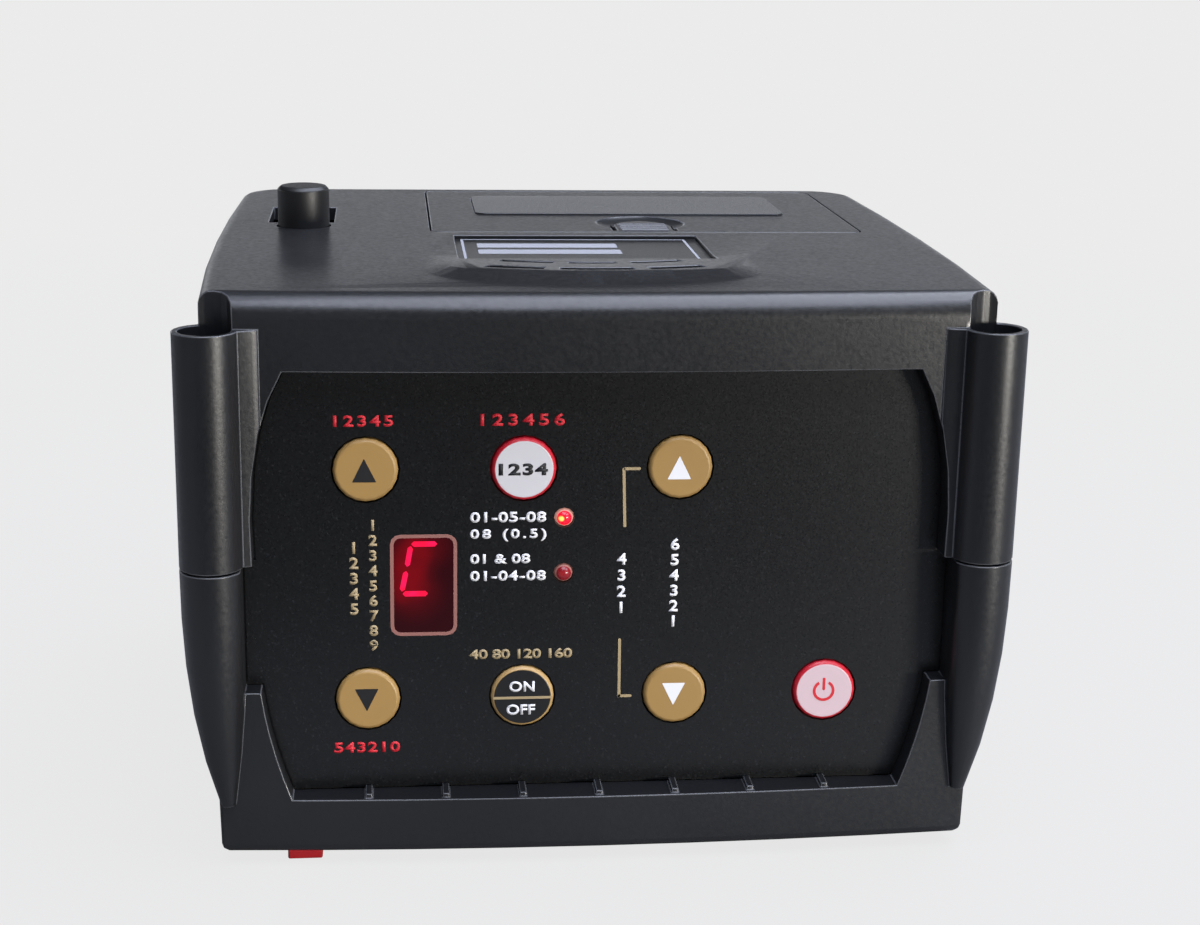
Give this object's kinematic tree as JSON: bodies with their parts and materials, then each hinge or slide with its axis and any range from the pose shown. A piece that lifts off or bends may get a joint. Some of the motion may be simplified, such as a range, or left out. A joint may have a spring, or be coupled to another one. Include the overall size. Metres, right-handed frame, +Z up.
{
  "type": "shruti box",
  "caption": "Compact electronic drone instrument: black split moulded housing with a stepped front panel of round keys, a lit digit, a raised speaker grille and a battery door on top.",
  "frame": {"origin": "on the ground, under the middle of the object's overall box", "axes": "+Z up, control panel facing -Y, +X to the right of someone who faces the panel"},
  "size_m": [0.1278, 0.1206, 0.0977],
  "materials": {
    "housing_abs": "fine spark-textured moulding",
    "panel_black": "satin printed overlay",
    "key_tan": "satin",
    "key_white": "translucent, lit from behind",
    "key_black": "satin",
    "lens_red": "clear red lens",
    "accent_red": "glossy",
    "inner_black": "moulded",
    "board_green": "solder mask on fibreglass",
    "rubber_black": "matte",
    "steel_bright": "plated",
    "ferrite_grey": "sintered",
    "cone_paper": "pressed",
    "cell_jacket": "printed jacket over a metal can",
    "ribbon_grey": "ribbed PVC"
  },
  "bodies": {
    "housing": {"upper_shell": "housing_abs", "lower_shell": "housing_abs", "front_panel": "panel_black", "panel_overlay": "panel_black", "display_window": "lens_red", "display_module": "inner_black", "control_board": "board_green", "upper_lamp": "lens_red", "lower_lamp": "lens_red", "pitch_up_switch": "inner_black", "mode_switch": "inner_black", "volume_up_switch": "inner_black", "pitch_down_switch": "inner_black", "metronome_switch": "inner_black", "volume_down_switch": "inner_black", "power_switch": "inner_black", "speaker_basket": "steel_bright", "speaker_cone": "cone_paper", "speaker_magnet": "ferrite_grey", "name_plate": "panel_black", "battery_holder": "inner_black", "cell_1": "cell_jacket", "cell_2": "cell_jacket", "cell_3": "cell_jacket", "cell_4": "cell_jacket", "cell_5": "cell_jacket", "cell_6": "cell_jacket", "supply_socket": "inner_black", "selector_body": "steel_bright", "main_board": "board_green", "board_ribbon": "ribbon_grey", "speaker_lead": "inner_black", "battery_lead": "inner_black", "supply_lead": "inner_black", "foot_1": "rubber_black", "foot_2": "rubber_black", "foot_3": "rubber_black", "foot_4": "rubber_black", "case_screw_1": "steel_bright", "case_screw_2": "steel_bright", "case_screw_3": "steel_bright", "case_screw_4": "steel_bright"},
    "pitch_up_button": {"pitch_up_key": "key_tan", "pitch_up_plunger": "accent_red"},
    "mode_button": {"mode_key": "key_white", "mode_plunger": "accent_red"},
    "volume_up_button": {"volume_up_key": "key_tan", "volume_up_plunger": "accent_red"},
    "pitch_down_button": {"pitch_down_key": "key_tan", "pitch_down_plunger": "accent_red"},
    "metronome_button": {"metronome_key": "key_black", "metronome_plunger": "accent_red"},
    "volume_down_button": {"volume_down_key": "key_tan", "volume_down_plunger": "accent_red"},
    "power_button": {"power_key": "key_white", "power_plunger": "accent_red"},
    "door": {"battery_door": "housing_abs", "door_label": "panel_black"},
    "plug": {"supply_plug": "rubber_black"},
    "selector": {"selector_knob": "accent_red"}
  },
  "joints": [
    {"name": "pitch_up_press", "type": "slide", "parent": "housing", "child": "pitch_up_button", "axis": [0, 1, 0], "range_m": [0, 0.0006], "stiffness_N_per_m": 1500},
    {"name": "mode_press", "type": "slide", "parent": "housing", "child": "mode_button", "axis": [0, 1, 0], "range_m": [0, 0.0006], "stiffness_N_per_m": 1500},
    {"name": "volume_up_press", "type": "slide", "parent": "housing", "child": "volume_up_button", "axis": [0, 1, 0], "range_m": [0, 0.0006], "stiffness_N_per_m": 1500},
    {"name": "pitch_down_press", "type": "slide", "parent": "housing", "child": "pitch_down_button", "axis": [0, 1, 0], "range_m": [0, 0.0006], "stiffness_N_per_m": 1500},
    {"name": "metronome_press", "type": "slide", "parent": "housing", "child": "metronome_button", "axis": [0, 1, 0], "range_m": [0, 0.0006], "stiffness_N_per_m": 1500},
    {"name": "volume_down_press", "type": "slide", "parent": "housing", "child": "volume_down_button", "axis": [0, 1, 0], "range_m": [0, 0.0006], "stiffness_N_per_m": 1500},
    {"name": "power_press", "type": "slide", "parent": "housing", "child": "power_button", "axis": [0, 1, 0], "range_m": [0, 0.0006], "stiffness_N_per_m": 1500},
    {"name": "battery_door_hinge", "type": "hinge", "parent": "housing", "child": "door", "pos_m": [0, 0.05572, 0.0907], "axis": [-1, 0, 0], "range_deg": [0, 100]},
    {"name": "supply_plug_pull", "type": "slide", "parent": "housing", "child": "plug", "axis": [0, 0, 1], "range_m": [0, 0.012]},
    {"name": "selector_slide", "type": "slide", "parent": "housing", "child": "selector", "axis": [1, 0, 0], "range_m": [0, 0.004]}
  ]
}
